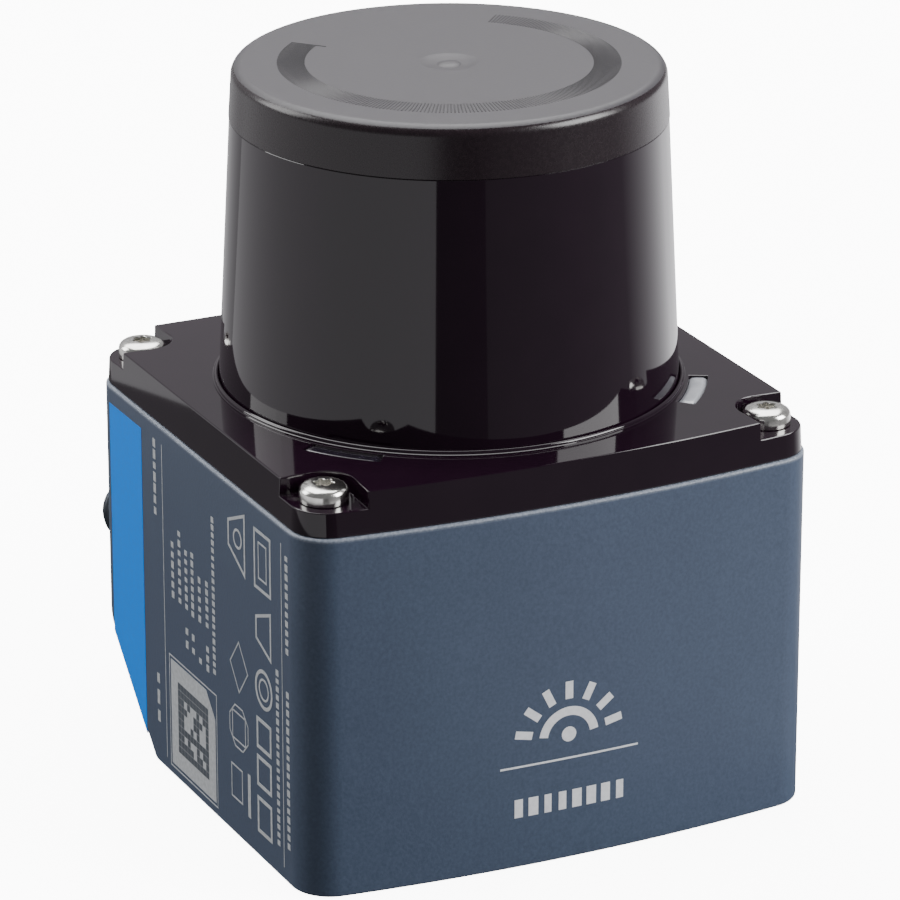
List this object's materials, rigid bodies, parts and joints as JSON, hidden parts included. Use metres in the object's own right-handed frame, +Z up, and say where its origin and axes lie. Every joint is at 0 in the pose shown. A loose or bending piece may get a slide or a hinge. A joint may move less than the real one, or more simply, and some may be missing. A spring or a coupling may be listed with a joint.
{
  "type": "lidar scanner module",
  "caption": "Compact 2D laser scanner: cast housing with rear plug connectors, dark conical optics hood, and a motor-driven tilted mirror inside.",
  "frame": {"origin": "on the bottom face, on the axis that the mirror turns about", "axes": "+Z up along the scan axis, +Y to the rear face with the connectors, +X to the right seen from the front"},
  "size_m": [0.06, 0.0697, 0.0802],
  "materials": {
    "housing_paint": "satin, fine texture",
    "hood_plastic": "polished, passes infrared light only",
    "seal_rubber": "matte",
    "stainless": "turned stainless steel",
    "light_plastic": "smoked, slightly milky",
    "blue_film": "satin film",
    "connector_metal": "dark anodised",
    "connector_plastic": "moulded",
    "gold": "gold plated",
    "nickel": "nickel plated",
    "board": "solder mask on glass fibre",
    "ribbon": "polyimide film",
    "bench_metal": "black anodised",
    "lens_glass": "coated",
    "black_metal": "black anodised",
    "filter_glass": "infrared filter",
    "chip": "moulded",
    "copper": "enamelled copper on steel laminations",
    "bearing_steel": "ground",
    "magnet": "bonded ferrite",
    "mirror_silver": "front-surface mirror",
    "weight_brass": "turned"
  },
  "bodies": {
    "base": {"housing": "housing_paint", "optics_hood": "hood_plastic", "cover_gasket": "seal_rubber", "cover_screws": "stainless", "light_pipe_left": "light_plastic", "light_pipe_right": "light_plastic", "blue_strip": "blue_film", "power_connector_shell": "connector_metal", "power_connector_insert": "connector_plastic", "power_connector_pins": "gold", "power_connector_seal": "seal_rubber", "power_connector_nut": "nickel", "data_connector_shell": "connector_metal", "data_connector_insert": "connector_plastic", "data_connector_contacts": "gold", "data_connector_seal": "seal_rubber", "data_connector_nut": "nickel", "main_board": "board", "power_board": "board", "connector_board": "board", "board_screws": "nickel", "board_ribbon": "ribbon", "optical_bench": "bench_metal", "bench_screws": "nickel", "receive_lens": "lens_glass", "lens_ring": "black_metal", "transmit_tube": "black_metal", "transmit_lens": "lens_glass", "laser_diode": "gold", "laser_board": "board", "light_filter": "filter_glass", "photodiode": "chip", "receiver_shield": "nickel", "motor_frame": "bench_metal", "frame_screws": "nickel", "motor_board": "board", "motor_ribbon": "ribbon", "stator": "copper", "upper_bearing": "bearing_steel", "lower_bearing": "bearing_steel", "encoder_fork": "chip"},
    "rotor": {"motor_shaft": "bearing_steel", "rotor_bell": "nickel", "rotor_magnet": "magnet", "code_disc": "stainless", "mirror_carrier": "black_metal", "scan_mirror": "mirror_silver", "balance_weight": "weight_brass"}
  },
  "joints": [
    {"name": "scan_spin", "type": "hinge", "parent": "base", "child": "rotor", "pos_m": [0, 0, 0.07], "axis": [0, 0, 1], "continuous": true}
  ]
}
